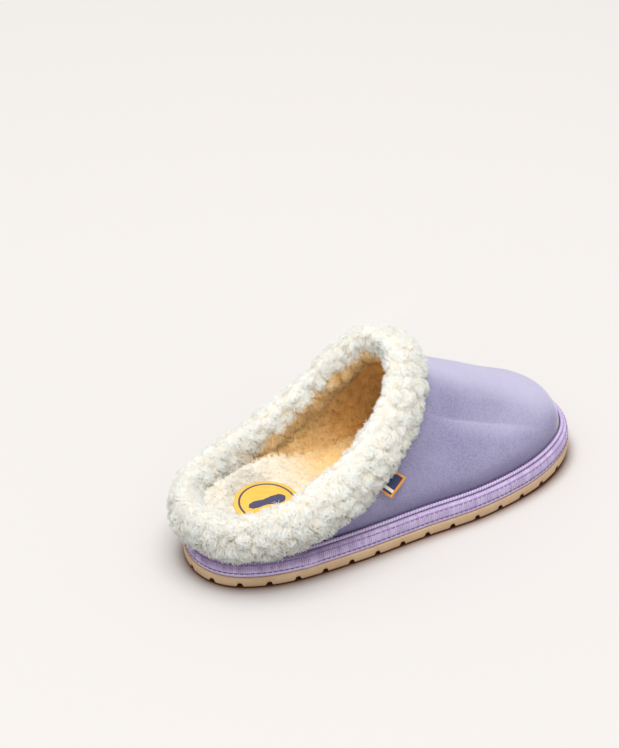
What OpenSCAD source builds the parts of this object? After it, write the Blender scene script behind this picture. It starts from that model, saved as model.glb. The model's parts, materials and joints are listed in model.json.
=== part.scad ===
// A closed-toe, low-backed house slipper for the right foot: suede vamp, fleece cuff and lining,
// a sole unit of moulded outsole, foam midsole and ribbed wrap, and a small flag label that
// hinges on its sewn edge. The sole stands on z = 0, +Y points to the toe and +X is the
// outer side of the foot. The origin is on the ground under the middle of the sole.

/* [Sole] */
// Length of the sole from heel to toe
sole_length = 262; // [245:1:280]
// Width of the sole at the ball of the foot
sole_width = 99.5; // [92:0.5:106]
// Thickness of the moulded outsole
outsole_t = 7.4; // [6.5:0.1:8.5]
// Thickness of the foam midsole
midsole_t = 8.8; // [8:0.1:10]
// How far the sole lifts off the ground at the tip of the toe
toe_spring = 5; // [0:0.5:8]
// Distance between the notches round the edge of the tread
notch_pitch = 17; // [14:0.5:22]
// Depth of the notches round the edge of the tread
notch_depth = 2.4; // [1.5:0.1:3]

/* [Upper] */
// Height of the middle of the cuff over the instep
cuff_height = 97; // [88:1:104]
// Thickness of the suede
suede_t = 1.2; // [0.9:0.1:1.5]
// Thickness of the fleece, backing and pile together
fleece_t = 6; // [5:0.1:6.5]
// Half the thickness of the cuff roll
cuff_across = 11; // [10.5:0.1:12]
// Half the depth of the cuff roll at the heel
cuff_along = 18; // [17:0.1:19]

/* [Footbed] */
// Thickness of the cushion foam
foam_t = 4.8; // [4:0.1:5.5]
// Half the width of the printed heel patch
patch_across = 20.5; // [16:0.5:23]
// Half the length of the printed heel patch
patch_along = 19.5; // [14:0.5:21]

/* [Label] */
// Width of the flag label along the seam
label_w = 15; // [12:0.5:20]
// How far the flag label stands out of the seam
label_l = 8.5; // [7:0.5:11]
// Thickness of the folded label
label_t = 1; // [0.8:0.1:1.2]

/* [Hidden] */

gap = 0.15;            // clearance between cemented or sewn layers of the sole
layer_gap = 0.5;       // clearance between the layers of the upper
eps = 0.0005;          // step used for tangents along a closed curve
rim_steps = 96;        // points round the sole
cuff_steps = 72;       // sections round the cuff
cuff_points = 12;      // points on each face of the cuff's section
shell_steps = 56;      // ribs across the vamp
rib_steps = 11;        // points along each rib
spring_from = 50;      // where the sole starts to lift, in front of the middle

board_t = 1.8;
midsole_z = outsole_t + gap;
midsole_top = midsole_z + midsole_t;
board_z = midsole_top + gap;
board_top = board_z + board_t;
feather_z = board_top + 2 * gap;      // lower edge of the upper
feather_inset = 6.6;                  // how far the upper's edge is inside the sole's
foam_z = board_top + gap;
fleece_z = foam_z + foam_t + gap;
footbed_top = fleece_z + fleece_t + 0.4;
cord_r = 1.7;
thread_r = 0.3;

tan_rubber = "#c9a67c";
lilac_suede = "#a79cc4";
lilac_tape = "#bda9da";
mauve_cord = "#a58cb8";
violet_thread = "#8a7cb8";
cream_fleece = "#f0ebdc";
white_foam = "#e4e0d8";
board_grey = "#b9ad98";
patch_yellow = "#f3c93e";
label_navy = "#1d2b55";
label_orange = "#e09a2c";

// Sole outline, heel centre first, then the outer side, the toe and the inner side,
// as shares of the sole's width and length.
OUTLINE = [
    [0.03, -0.5], [0.27, -0.46], [0.42, -0.347], [0.475, -0.175], [0.49, 0], [0.51, 0.172],
    [0.44, 0.347], [0.26, 0.462], [-0.03, 0.5], [-0.3, 0.462], [-0.45, 0.344], [-0.485, 0.198],
    [-0.425, 0.019], [-0.38, -0.16], [-0.37, -0.336], [-0.23, -0.466]
];

// Middle line of the cuff, from the heel centre by the outer side: x and y as shares of the
// sole's width and length, z as a share of cuff_height, half depth as a share of cuff_along,
// and how far the roll leans in over the foot, in degrees.
CUFF = [
    [0.03, -0.48, 0.365, 0.93, 0], [0.28, -0.43, 0.36, 0.93, 0], [0.388, -0.32, 0.4, 1.05, 5],
    [0.37, -0.183, 0.505, 1.1, 12], [0.305, -0.08, 0.655, 1.06, 22], [0.19, 0.004, 0.845, 1, 35],
    [-0.01, 0.05, 1, 0.95, 50], [-0.235, 0.012, 0.955, 0.95, 35], [-0.34, -0.088, 0.69, 1, 20],
    [-0.35, -0.206, 0.495, 1.05, 12], [-0.315, -0.332, 0.4, 1, 5], [-0.19, -0.447, 0.365, 0.95, 0]
];

// ---------- curves ----------

// Point at u, 0 to 1, on the closed Catmull-Rom curve through the points P
function closed_at(P, u) =
    let (n = len(P), s = (u - floor(u)) * n, i = floor(s), t = s - i)
    let (a = P[(i + n - 1) % n], b = P[i % n], c = P[(i + 1) % n], d = P[(i + 2) % n])
    0.5 * (2 * b + (c - a) * t + (2 * a - 5 * b + 4 * c - d) * t * t
        + (3 * b - a - 3 * c + d) * t * t * t);

function unit(v) = v / norm(v);

// Lift of the sole at y
function spring(y) =
    let (run = sole_length / 2 - spring_from, s = max(0, y - spring_from) / run)
    toe_spring * s * s;

function outline_at(u) = let (p = closed_at(OUTLINE, u)) [p.x * sole_width, p.y * sole_length];

// Outward normal of the outline
function outline_normal(u) =
    let (t = unit(outline_at(u + eps) - outline_at(u - eps)))
    [t.y, -t.x];

// Point inside the outline by inset, at height z above the sprung ground line
function rim(u, inset, z) =
    let (p = outline_at(u) - outline_normal(u) * inset)
    [p.x, p.y, z + spring(p.y)];

function rim_loop(inset, z) = [for (k = [0 : rim_steps - 1]) rim(k / rim_steps, inset, z)];

// Share of the way round the outline at each of n equal distances along it
function lengths(n) =
    [for (k = [0 : n - 1]) norm(outline_at((k + 1) / n) - outline_at(k / n))];
function running(L, i = 0, sum = 0, out = []) =
    i == len(L) ? concat(out, [sum]) : running(L, i + 1, sum + L[i], concat(out, [sum]));
LENGTH_TABLE = running(lengths(192));
girth = LENGTH_TABLE[192];
LENGTH_PAIRS = [for (k = [0 : 192]) [LENGTH_TABLE[k], k / 192]];
function u_at_distance(d) = lookup(d, LENGTH_PAIRS);

// ---------- cuff ----------

// Everything about the cuff's section at v: middle, outward and upward axes, half depth
function cuff_frame(v) =
    let (a = closed_at(CUFF, v), b = closed_at(CUFF, v + eps), c = closed_at(CUFF, v - eps))
    let (scale3 = function(q) [q[0] * sole_width, q[1] * sole_length, q[2] * cuff_height])
    let (t = unit(scale3(b) - scale3(c)), n = unit([t.y, -t.x, 0]), up = cross(n, t))
    [scale3(a), n * cos(a[4]) + up * sin(a[4]), up * cos(a[4]) - n * sin(a[4]), a[3] * cuff_along];

// Point of the cuff's section: across is outward, along is up the roll's depth
function cuff_point(f, across, along) = f[0] + f[1] * across + f[2] * along;

// Half the width of the slot in the underside of the cuff, into which the upper is sewn
slot = 2.5;
function cuff_high(f) = f[3] - 1;
function cuff_low(f) = f[3] - 3.5;

function arc_points(f, inward, first, last) =
    [for (k = [0 : cuff_points - 1])
        let (a = first + (last - first) * k / (cuff_points - 1))
        let (depth = a < 0 || a > 180 ? cuff_low(f) : cuff_high(f))
        cuff_point(f, (cuff_across - inward) * cos(a), (depth - inward) * sin(a))];

function cuff_section(v) =
    let (f = cuff_frame(v), o = asin(slot / cuff_across), i = asin(slot / (cuff_across - fleece_t)))
    concat(arc_points(f, 0, o - 90, 270 - o), arc_points(f, fleece_t, 270 - i, i - 90));

// ---------- upper ----------

seam_depth = 4;         // how far the upper's top edge runs up inside the cuff
rib_lift = 0.4;         // share of its height for which a rib leaves the sole upright
rib_reach = 0.42;       // share of its span for which a rib follows the cuff's lean
seam_offset = suede_t / 2;
side_bulge = 2.5;

// Share of the way round the outline from which the rib at v rises
function rib_root(v) = v + (v - floor(v) > 0.5 ? 0.03 : -0.03) * (1 - cos(720 * v));

// Point r, 0 at the sole and 1 at the cuff, on the rib at v: a cubic Bezier curve
function rib(v, r) =
    let (u = rib_root(v), foot = rim(u, feather_inset, feather_z), f = cuff_frame(v))
    let (top = cuff_point(f, seam_offset, seam_depth - cuff_low(f)), n = outline_normal(u))
    let (rise = top.z - foot.z, bulge = min(side_bulge, 0.08 * rise))
    let (a = foot + [n.x * bulge, n.y * bulge, rib_lift * rise])
    let (b = top - f[2] * rib_reach * norm(top - foot))
    let (s = 1 - r)
    s * s * s * foot + 3 * s * s * r * a + 3 * s * r * r * b + r * r * r * top;

function rib_normal(v, r) =
    let (h = 0.002, lo = max(0, r - h), hi = min(1, r + h))
    unit(cross(rib(v + h, r) - rib(v - h, r), rib(v, hi) - rib(v, lo)));

// Grid of points on the upper, moved in by depth
function shell(v0, v1, r0, r1, n, m, depth) = [
    for (i = [0 : n], j = [0 : m])
        let (v = v0 + (v1 - v0) * i / n, r = r0 + (r1 - r0) * j / m)
        rib(v, r) - rib_normal(v, r) * depth];

// ---------- solids from points ----------

// Triangles between neighbours of a grid of n by m points, which may close on itself
function grid_faces(n, m, wrap_n, wrap_m, base = 0, flip = false) = [
    for (i = [0 : n - (wrap_n ? 1 : 2)], j = [0 : m - (wrap_m ? 1 : 2)])
        let (a = base + i * m + j, b = base + ((i + 1) % n) * m + j)
        let (c = base + ((i + 1) % n) * m + (j + 1) % m, d = base + i * m + (j + 1) % m)
        each flip ? [[a, b, c], [a, c, d]] : [[a, c, b], [a, d, c]]];

// Closed ring swept from sections that each hold the same number of points
module ring(sections) {
    polyhedron(
        points = [for (s = sections) each s],
        faces = grid_faces(len(sections), len(sections[0]), true, true)
    );
}

// Ring of the sole outline with a section given as [inset, z] pairs, anticlockwise
module rim_ring(section) {
    ring([for (k = [0 : rim_steps - 1]) [for (p = section) rim(k / rim_steps, p[0], p[1])]]);
}

// Strips across a loop of n points, which close the top or the bottom of a plate
function cap_faces(n, base, up) = [
    for (i = [0 : n / 2 - 1])
        let (a = base + i, b = base + i + 1)
        let (c = base + (n - i - 1) % n, d = base + (n - i) % n)
        each i == 0 ? [up ? [a, c, b] : [a, b, c]]
            : i == n / 2 - 1 ? [up ? [a, d, b] : [a, b, d]]
            : up ? [[a, d, c], [a, c, b]] : [[a, c, d], [a, b, c]]];

// Solid plate from loops stacked from its top to its underside
module plate(loops) {
    n = len(loops[0]);
    k = len(loops);
    polyhedron(
        points = [for (l = loops) each l],
        faces = concat(grid_faces(k, n, false, true), cap_faces(n, 0, true),
            cap_faces(n, (k - 1) * n, false))
    );
}

function edge_walk(n, m) = concat(
    [for (j = [0 : m - 1]) j],
    [for (i = [1 : n - 1]) i * m + m - 1],
    [for (j = [1 : m - 1]) n * m - 1 - j],
    [for (i = [1 : n - 2]) (n - 1 - i) * m]);

// Sheet of an even thickness between two grids of n by m points
module sheet(outer, inner, n, m) {
    walk = edge_walk(n, m);
    k = len(walk);
    all = n * m;
    polyhedron(
        points = concat(outer, inner),
        faces = concat(
            grid_faces(n, m, false, false, 0, false),
            grid_faces(n, m, false, false, all, true),
            [for (i = [0 : k - 1])
                let (a = walk[i], b = walk[(i + 1) % k])
                each [[b, a, all + a], [b, all + a, all + b]]])
    );
}

module shell_sheet(v0, v1, r0, r1, n, m, depth, thickness) {
    sheet(shell(v0, v1, r0, r1, n, m, depth), shell(v0, v1, r0, r1, n, m, depth + thickness),
        n + 1, m + 1);
}

// Round cord or thread lying along the outline
module rim_cord(inset, z, r, sides) {
    rim_ring([for (k = [0 : sides - 1]) [inset - r * cos(360 * k / sides), z + r * sin(360 * k / sides)]]);
}

// ---------- sole unit ----------

function side_profile(thickness) =
    let (ys = concat([-sole_length], [for (k = [0 : 12]) spring_from + k * 7.5]))
    concat([for (y = ys) [y, spring(y)]],
        [for (k = [len(ys) - 1 : -1 : 0]) [ys[k], thickness + spring(ys[k])]]);

// Half length of the tread groove across the sole at y
function groove_reach(y) = lookup(y, [[-118, 15], [-95, 25], [0, 30], [55, 36], [95, 28], [120, 12]]);

module notch(d) {
    u = u_at_distance(d);
    p = outline_at(u);
    n = outline_normal(u);
    translate([p.x, p.y, spring(p.y)])
        rotate([90, 0, atan2(n.y, n.x) + 90])
            linear_extrude(height = 16, center = true)
                polygon([[-1.7, -1], [1.7, -1], [0.7, notch_depth], [-0.7, notch_depth]]);
}

module outsole() {
    notches = round(girth / notch_pitch);
    groove_pitch = 9.5;
    color(tan_rubber) difference() {
        intersection() {
            linear_extrude(height = outsole_t + toe_spring + 5)
                polygon([for (k = [0 : rim_steps - 1]) outline_at(k / rim_steps)]);
            rotate([90, 0, 90])
                linear_extrude(height = 2 * sole_width, center = true)
                    polygon(side_profile(outsole_t));
        }
        for (k = [0 : notches - 1]) notch((k + 0.95) * girth / notches);
        for (k = [-12 : 11])
            let (y = (k + 0.5) * groove_pitch, reach = groove_reach(y))
            translate([-reach + 1, y - 1.1, spring(y) - 1]) cube([2 * reach, 2.2, 2.4]);
    }
}

WRAP_OUTER = [[1.2, 0], [0.6, 1.1], [0.5, 4], [1, 7], [2.2, 9.4], [3.5, 10]];
WRAP_INNER = [[3.5, 9.2], [2.9, 9.1], [2.1, 7], [1.6, 4], [1.6, 0.85], [10.5, 0.85], [10.5, 0]];

module sole_wrap() {
    color(lilac_tape) rim_ring([for (p = concat(WRAP_OUTER, WRAP_INNER)) [p[0], midsole_z + p[1]]]);
}

module midsole() {
    step_z = midsole_z + 1;
    color(white_foam) plate([
        rim_loop(3.1, midsole_top), rim_loop(2.3, step_z + 2), rim_loop(2.1, step_z),
        rim_loop(11, step_z), rim_loop(11, midsole_z)]);
}

// Thread that rests on the wrap at height z above its lower edge
module wrap_thread(z) {
    heights = [for (p = WRAP_OUTER) [p[1], p[0]]];
    color(violet_thread) rim_cord(lookup(z, heights) - thread_r - gap, midsole_z + z, thread_r, 4);
}

module wrap_stitch_lower() { wrap_thread(2.9); }

module wrap_stitch_upper() { wrap_thread(8.3); }

module seam_cord() {
    color(mauve_cord) rim_cord(3.1, feather_z + 1.55, cord_r, 8);
}

module insole_board() {
    color(board_grey) plate([rim_loop(4.4, board_top), rim_loop(4.4, board_z)]);
}

module closing_stitch() {
    color(violet_thread) rim_cord(8.3, board_top + thread_r + gap, thread_r, 4);
}

// ---------- footbed ----------

// Distance of the footbed's edge from the sole's edge at y: wider at the cuff and at the toe
function bed_inset(y) = lookup(y, [[-70, 19.5], [-10, 16.5], [60, 18], [100, 21], [131, 22]]);

function bed_loop(extra, z) = [for (k = [0 : rim_steps - 1])
    let (u = k / rim_steps) rim(u, bed_inset(outline_at(u).y) + extra, z)];

module footbed_foam() {
    color(white_foam) plate([bed_loop(0, foam_z + foam_t), bed_loop(0, foam_z)]);
}

module footbed_fleece() {
    color(cream_fleece) plate([
        bed_loop(2.2, footbed_top), bed_loop(0.6, footbed_top - 0.8),
        bed_loop(0, footbed_top - 2.4), bed_loop(0, fleece_z)]);
}

module heel_patch() {
    patch_centre = [0.03 * sole_width, -0.307 * sole_length];
    color(patch_yellow) translate([patch_centre.x, patch_centre.y, footbed_top + gap])
        linear_extrude(height = 0.6)
            polygon([for (a = [0 : 7.5 : 352.5]) [patch_across * cos(a), patch_along * sin(a)]]);
}

// ---------- upper ----------

puff_t = 0.8;
vamp_from = 0.15;       // share of the way round the cuff at which the vamp's side seams lie
vamp_to = 0.85;
lining_from = 0.235;
lining_to = 0.765;

module vamp() {
    color(lilac_suede) shell_sheet(vamp_from, vamp_to, 0, 1, shell_steps, rib_steps, 0, suede_t);
}

module back_strip() {
    color(lilac_suede)
        shell_sheet(vamp_to + 0.006, vamp_from + 0.994, 0, 1, 30, 2, 0, suede_t);
}

module toe_puff() {
    color(white_foam)
        shell_sheet(0.42, 0.58, 0.05, 0.42, 22, 5, suede_t + layer_gap, puff_t);
}

module vamp_lining() {
    color(cream_fleece)
        shell_sheet(lining_from, lining_to, 0.07, 0.78, shell_steps, rib_steps,
            suede_t + puff_t + 2 * layer_gap, fleece_t);
}

module collar_fleece() {
    color(cream_fleece) ring([for (k = [0 : cuff_steps - 1]) cuff_section(k / cuff_steps)]);
}

module collar_core() {
    sides = 10;
    w = cuff_across - fleece_t - 0.8;
    color(white_foam) ring([for (k = [0 : cuff_steps - 1])
        let (f = cuff_frame(k / cuff_steps), middle = (cuff_high(f) - cuff_low(f)) / 2)
        let (h = (cuff_high(f) + cuff_low(f)) / 2 - fleece_t - 1)
        [for (j = [0 : sides - 1])
            cuff_point(f, w * cos(360 * j / sides), middle + h * sin(360 * j / sides))]]);
}

module topline_stitch() {
    sides = 4;
    r = 0.25;
    color(violet_thread) ring([for (k = [0 : cuff_steps - 1])
        let (f = cuff_frame(k / cuff_steps))
        [for (j = [0 : sides - 1])
            cuff_point(f, 1.6 + r * cos(360 * j / sides), 2.6 - cuff_low(f) + r * sin(360 * j / sides))]]);
}

label_at = 0.306;       // share of the way round the cuff at which the label is sewn
label_angle = 42;       // how far the label stands out from the suede, in degrees
label_frame = cuff_frame(label_at);
label_seam = unit(cross(label_frame[2], label_frame[1]));
label_out = label_frame[1] * sin(label_angle) - label_frame[2] * cos(label_angle);
label_up = cross(label_seam, label_out);
label_hinge = cuff_point(label_frame, 1.9, -1.4 - cuff_low(label_frame));

module label_tail() {
    reach = label_w / 2 / 300;
    n = 8;
    outer = [for (k = [0 : n], along = [-0.4, 1.6])
        let (f = cuff_frame(label_at - reach + 2 * reach * k / n))
        cuff_point(f, 1.75, along - cuff_low(f))];
    inner = [for (k = [0 : n], along = [-0.4, 1.6])
        let (f = cuff_frame(label_at - reach + 2 * reach * k / n))
        cuff_point(f, 1.05, along - cuff_low(f))];
    color(label_navy) sheet(outer, inner, n + 1, 2);
}

module side_label() {
    corner = 1;
    color(label_navy)
        translate(label_hinge)
            rotate([atan2(label_out.z, label_up.z), -asin(label_seam.z),
                atan2(label_seam.y, label_seam.x)])
                translate([0, 0, -label_t / 2])
                    linear_extrude(height = label_t)
                        polygon([
                            [-label_w / 2, 0.3], [label_w / 2, 0.3],
                            [label_w / 2, label_l - corner], [label_w / 2 - corner, label_l],
                            [corner - label_w / 2, label_l], [-label_w / 2, label_l - corner]]);
}

outsole();
midsole();
sole_wrap();
wrap_stitch_lower();
wrap_stitch_upper();
seam_cord();
insole_board();
closing_stitch();
footbed_foam();
footbed_fleece();
heel_patch();
vamp();
toe_puff();
vamp_lining();
back_strip();
collar_fleece();
collar_core();
topline_stitch();
label_tail();
side_label();
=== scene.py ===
"""Looks of a right-foot house slipper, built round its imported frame. Metres, +Y to the toe, +Z up."""
import json
from collections import namedtuple

import bmesh
import bpy
import numpy as np
from mathutils import Matrix, Vector


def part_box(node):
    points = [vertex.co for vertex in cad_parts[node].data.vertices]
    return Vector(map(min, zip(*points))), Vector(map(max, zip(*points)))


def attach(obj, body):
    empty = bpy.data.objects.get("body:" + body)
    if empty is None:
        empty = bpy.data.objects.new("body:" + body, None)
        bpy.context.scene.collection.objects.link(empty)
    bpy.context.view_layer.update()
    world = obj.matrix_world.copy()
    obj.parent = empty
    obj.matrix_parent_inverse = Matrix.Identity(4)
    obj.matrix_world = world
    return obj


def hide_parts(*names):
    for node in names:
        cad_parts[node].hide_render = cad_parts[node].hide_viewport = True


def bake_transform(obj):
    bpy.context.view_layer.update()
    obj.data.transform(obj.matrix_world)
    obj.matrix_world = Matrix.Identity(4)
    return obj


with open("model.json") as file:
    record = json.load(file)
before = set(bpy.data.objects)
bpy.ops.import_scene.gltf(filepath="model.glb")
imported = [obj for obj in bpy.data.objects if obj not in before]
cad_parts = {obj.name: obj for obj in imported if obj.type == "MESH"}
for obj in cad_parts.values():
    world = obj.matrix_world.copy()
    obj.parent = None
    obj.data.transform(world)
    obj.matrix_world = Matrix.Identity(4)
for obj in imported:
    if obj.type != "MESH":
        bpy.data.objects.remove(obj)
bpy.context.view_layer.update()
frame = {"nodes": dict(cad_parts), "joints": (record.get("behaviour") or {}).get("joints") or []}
mm = 0.001


# ---------- sizes, from the frame ----------

def low(node):
    return np.array(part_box(node)[0])


def high(node):
    return np.array(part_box(node)[1])


gap = 0.15 * mm  # between touching CAD nodes
sole_length = (high("outsole") - low("outsole"))[1]
sole_width = sole_length * 0.3798
cuff_height = sole_length * 0.3702  # of the middle of the roll, at its highest
cuff_along = sole_length * 0.0687  # half depth of the roll's section
cuff_across = sole_length * 0.042  # half width of the roll's section
cuff_cut_above = 1 * mm  # how much less deep the section is above its middle
cuff_cut_below = 3.5 * mm  # and below it
slot = 2.5 * mm  # half width of the roll's opening, which takes the upper's edge
seam_depth = 4 * mm  # how far the upper goes into the roll
outsole_top = low("midsole")[2] - gap
toe_spring = high("outsole")[2] - outsole_top
spring_from = 50 * mm  # ahead of the sole's middle, where the toe starts to rise
wrap_z = low("sole_wrap")[2]
feather_z = low("vamp")[2]  # where the upper meets the sole
feather_inset = 6.6 * mm
footbed_top = low("heel_patch")[2] - gap
suede_t = 1.2 * mm
nudge = 0.0005  # small share of a curve, for slopes

# Sole outline, heel centre first, then the outer side, the toe and the inner side, as shares
# of the sole's width and length.
OUTLINE = np.array([
    (0.03, -0.5), (0.27, -0.46), (0.42, -0.347), (0.475, -0.175), (0.49, 0), (0.51, 0.172),
    (0.44, 0.347), (0.26, 0.462), (-0.03, 0.5), (-0.3, 0.462), (-0.45, 0.344), (-0.485, 0.198),
    (-0.425, 0.019), (-0.38, -0.16), (-0.37, -0.336), (-0.23, -0.466),
])

# Middle line of the cuff from the heel by the outer side: x, y and z as shares of the sole's
# width, its length and the cuff's height, the half depth as a share, and the lean in degrees.
CUFF = np.array([
    (0.03, -0.48, 0.365, 0.93, 0), (0.28, -0.43, 0.36, 0.93, 0), (0.388, -0.32, 0.4, 1.05, 5),
    (0.37, -0.183, 0.505, 1.1, 12), (0.305, -0.08, 0.655, 1.06, 22), (0.19, 0.004, 0.845, 1, 35),
    (-0.01, 0.05, 1, 0.95, 50), (-0.235, 0.012, 0.955, 0.95, 35), (-0.34, -0.088, 0.69, 1, 20),
    (-0.35, -0.206, 0.495, 1.05, 12), (-0.315, -0.332, 0.4, 1, 5), (-0.19, -0.447, 0.365, 0.95, 0),
])


# ---------- curves ----------

def closed_at(points, u):
    """Points at u, 0 to 1, on the closed Catmull-Rom curve through the given points."""
    n = len(points)
    s = (np.asarray(u) % 1.0) * n
    i = np.floor(s).astype(int)
    t = (s - i)[..., None]
    a, b, c, d = (points[(i + k) % n] for k in (-1, 0, 1, 2))
    curve = 2 * b + (c - a) * t + (2 * a - 5 * b + 4 * c - d) * t**2
    return 0.5 * (curve + (3 * b - a - 3 * c + d) * t**3)


def unit(v):
    return v / np.maximum(np.linalg.norm(v, axis=-1, keepdims=True), 1e-12)


def smooth(x, start, end):
    t = np.clip((x - start) / (end - start), 0, 1)
    return t * t * (3 - 2 * t)


def spring(y):
    rise = np.maximum(0, y - spring_from) / (sole_length / 2 - spring_from)
    return toe_spring * rise**2


def outline_at(u):
    return closed_at(OUTLINE, u) * [sole_width, sole_length]


def outline_normal(u):
    t = unit(outline_at(np.asarray(u) + nudge) - outline_at(np.asarray(u) - nudge))
    return np.stack([t[..., 1], -t[..., 0]], -1)


def rim(u, inset, z):
    """Point inside the sole's outline by inset, at height z over the sprung ground line."""
    u, inset, z = np.broadcast_arrays(u, inset, z)
    p = outline_at(u) - outline_normal(u) * inset[..., None]
    return np.concatenate([p, (z + spring(p[..., 1]))[..., None]], -1)


walk_u = np.linspace(0, 1, 4001)
strides = np.linalg.norm(np.diff(outline_at(walk_u), axis=0), axis=1)
walked = np.concatenate([[0], np.cumsum(strides)])
girth = walked[-1]


def u_at(distance):
    """Share of the outline's curve at a distance round the sole."""
    return np.interp(distance % girth, walked, walk_u)


def even_distance(n):
    """n equally spaced distances round the sole."""
    return np.arange(n) / n * girth


def even_u(n):
    """Shares of the outline's curve at equally spaced distances."""
    return u_at(even_distance(n))


def outward_at(u):
    """Level outward direction at u on the outline, in three dimensions."""
    flat = outline_normal(u)
    return np.concatenate([flat, np.zeros(flat.shape[:-1] + (1,))], -1)


def cuff_frame(v):
    """Middle, outward axis, upward axis and half depth of the cuff's section at v."""
    v = np.asarray(v, float)
    scale = np.array([sole_width, sole_length, cuff_height])
    a = closed_at(CUFF, v)
    ahead = closed_at(CUFF, v + nudge)[..., :3]
    behind = closed_at(CUFF, v - nudge)[..., :3]
    t = unit((ahead - behind) * scale)
    n = unit(np.stack([t[..., 1], -t[..., 0], 0 * t[..., 0]], -1))
    up = np.cross(n, t)
    lean = np.radians(a[..., 4])[..., None]
    out_axis = n * np.cos(lean) + up * np.sin(lean)
    up_axis = up * np.cos(lean) - n * np.sin(lean)
    return a[..., :3] * scale, out_axis, up_axis, a[..., 3] * cuff_along


def cuff_surface(v, angle, inward):
    """Point of the cuff's section at an angle in degrees, from outward, inside its face."""
    v, angle = np.broadcast_arrays(v, angle)
    middle, out_axis, up_axis, half = cuff_frame(v)
    a = np.radians(angle)
    below = (angle < 0) | (angle > 180)
    depth = half - np.where(below, cuff_cut_below, cuff_cut_above) - inward
    across = (cuff_across - inward) * np.cos(a)
    along = depth * np.sin(a)
    return middle + out_axis * across[..., None] + up_axis * along[..., None]


def rib_root(v):
    """Share of the sole's outline where the rib at v stands."""
    shift = np.where(v % 1.0 > 0.5, 0.03, -0.03)
    return v + shift * (1 - np.cos(4 * np.pi * v))


def rib(v, r):
    """Point r, 0 at the sole and 1 inside the cuff, on the upper's rib at v."""
    v, r = np.broadcast_arrays(np.asarray(v, float), np.asarray(r, float))
    u = rib_root(v)
    foot = rim(u, feather_inset, feather_z)
    middle, out_axis, up_axis, half = cuff_frame(v)
    lift = (seam_depth + cuff_cut_below - half)[..., None]
    top = middle + out_axis * (suede_t / 2) + up_axis * lift
    rise = top[..., 2] - foot[..., 2]
    bulge = np.minimum(2.5 * mm, 0.08 * rise)[..., None]
    n = outline_normal(u)
    a = foot + np.concatenate([n * bulge, (0.4 * rise)[..., None]], -1)
    b = top - up_axis * 0.42 * np.linalg.norm(top - foot, axis=-1, keepdims=True)
    r = r[..., None]
    s = 1 - r
    return s**3 * foot + 3 * s * s * r * a + 3 * s * r * r * b + r**3 * top


def grid_normals(grid, closed):
    """Normal at each point of a grid: along its first index crossed with along its second."""
    if closed:
        along = np.roll(grid, -1, 0) - np.roll(grid, 1, 0)
    else:
        along = np.gradient(grid, axis=0)
    return unit(np.cross(along, np.gradient(grid, axis=1)))


# ---------- noise ----------

def hashed(cell, seed, n):
    """n numbers from 0 to 1 for each cell of a lattice, from its coordinates mixed by large primes."""
    cell = np.asarray(cell, np.int64)
    mixed = cell[..., 0] * 73856093 ^ cell[..., 1] * 19349663 ^ cell[..., 2] * 83492791
    out = []
    for k in range(n):
        h = (mixed + (seed * 31 + k) * 2654435761) & 0xFFFFFFFF
        h = (h ^ (h >> 15)) * 2246822519 & 0xFFFFFFFF
        h = (h ^ (h >> 13)) * 3266489917 & 0xFFFFFFFF
        out.append(((h ^ (h >> 16)) & 0xFFFFFF) / 0xFFFFFF)
    return np.stack(out, -1)


def value_noise(points, size, seed):
    """Smooth noise from -1 to 1 with features about size across."""
    p = points / size
    cell = np.floor(p).astype(np.int64)
    f = p - cell
    f = f * f * (3 - 2 * f)
    total = np.zeros(points.shape[:-1])
    for step in np.ndindex(2, 2, 2):
        corner = hashed(cell + np.array(step), seed, 1)[..., 0]
        share = np.prod(np.where(step, f, 1 - f), axis=-1)
        total += corner * share
    return total * 2 - 1


# ---------- meshes ----------

def add(name, data, place_at=(0, 0, 0), target=None):
    """New object in the scene, turned to a target if there is one."""
    obj = bpy.data.objects.new(name, data)
    bpy.context.scene.collection.objects.link(obj)
    obj.location = place_at
    if target is not None:
        obj.rotation_euler = (target - obj.location).to_track_quat("-Z", "Y").to_euler()
    return obj


def make_mesh(name, verts, faces, material):
    """Smooth object from points and equal-sided faces."""
    verts = np.asarray(verts, np.float32).reshape(-1, 3)
    faces = np.asarray(faces, np.int32)
    sides = faces.shape[1]
    mesh = bpy.data.meshes.new(name)
    mesh.vertices.add(len(verts))
    mesh.vertices.foreach_set("co", verts.ravel())
    mesh.loops.add(faces.size)
    mesh.loops.foreach_set("vertex_index", faces.ravel())
    mesh.polygons.add(len(faces))
    mesh.polygons.foreach_set("loop_start", np.arange(0, faces.size, sides, dtype=np.int32))
    mesh.update(calc_edges=True)
    mesh.validate()
    mesh.polygons.foreach_set("use_smooth", np.full(len(mesh.polygons), True))
    mesh.materials.append(material)
    return add(name, mesh)


def grid_quads(n, m, closed_n, closed_m):
    """Quads between the points of a grid."""
    i = np.arange(n if closed_n else n - 1)
    j = np.arange(m if closed_m else m - 1)
    i, j = (k.ravel() for k in np.meshgrid(i, j, indexing="ij"))
    i2 = (i + 1) % n
    j2 = (j + 1) % m
    return np.stack([i * m + j, i2 * m + j, i2 * m + j2, i * m + j2], -1)


def ring_mesh(name, grid, material, flip=False):
    """Closed ring: sections along the first index, each a closed loop."""
    faces = grid_quads(grid.shape[0], grid.shape[1], True, True)
    return make_mesh(name, grid, faces[:, ::-1] if flip else faces, material)


def sheet_mesh(name, outer, inner, material):
    """Closed sheet between two open grids of the same size."""
    n, m = outer.shape[:2]
    ids = np.arange(n * m).reshape(n, m)
    walk = np.concatenate([ids[0, :-1], ids[:-1, -1], ids[-1, :0:-1], ids[:0:-1, 0]])
    ahead = np.roll(walk, -1)
    edge = np.stack([walk, ahead, ahead + n * m, walk + n * m], -1)
    face = grid_quads(n, m, False, False)
    faces = np.concatenate([face, face[:, ::-1] + n * m, edge])
    return make_mesh(name, np.concatenate([outer, inner]), faces, material)


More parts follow.
